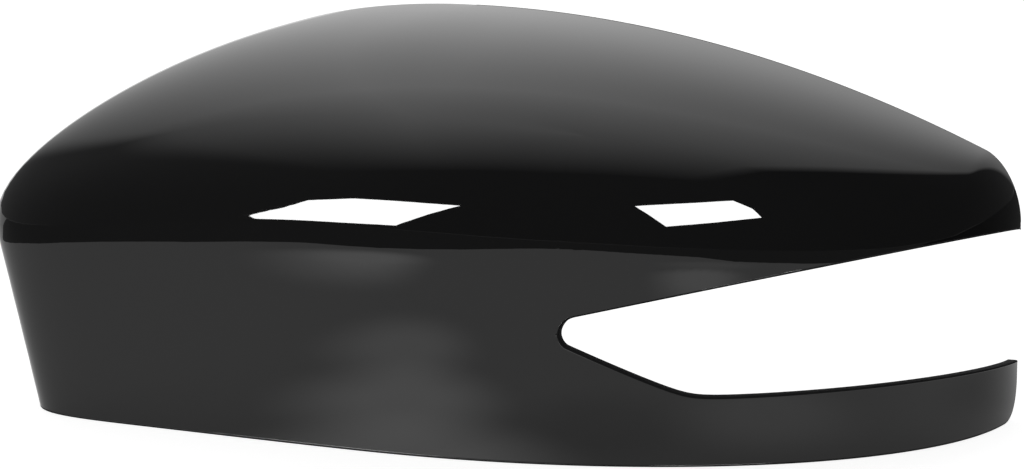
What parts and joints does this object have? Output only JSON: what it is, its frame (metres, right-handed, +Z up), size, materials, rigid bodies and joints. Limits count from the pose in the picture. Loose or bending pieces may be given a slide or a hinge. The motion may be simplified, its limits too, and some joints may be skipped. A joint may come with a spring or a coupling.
{
  "type": "door mirror cover",
  "caption": "Gloss black clip-on cover for a car's left-hand door mirror, with a lamp slot that opens at the outboard end and moulded hooks, tabs and pegs inside.",
  "frame": {"origin": "Middle of the outline seen from above, at the height of the bottom edge that the cover stands on.", "axes": "+X runs outboard, away from the car. +Y runs from the front skin to the open rear, towards the mirror glass. +Z is up."},
  "size_m": [0.2342, 0.078, 0.091],
  "materials": {
    "painted_abs": "gloss black paint on a moulded ABS shell"
  },
  "bodies": {
    "root": {"mirror_cover": "painted_abs"}
  },
  "joints": []
}
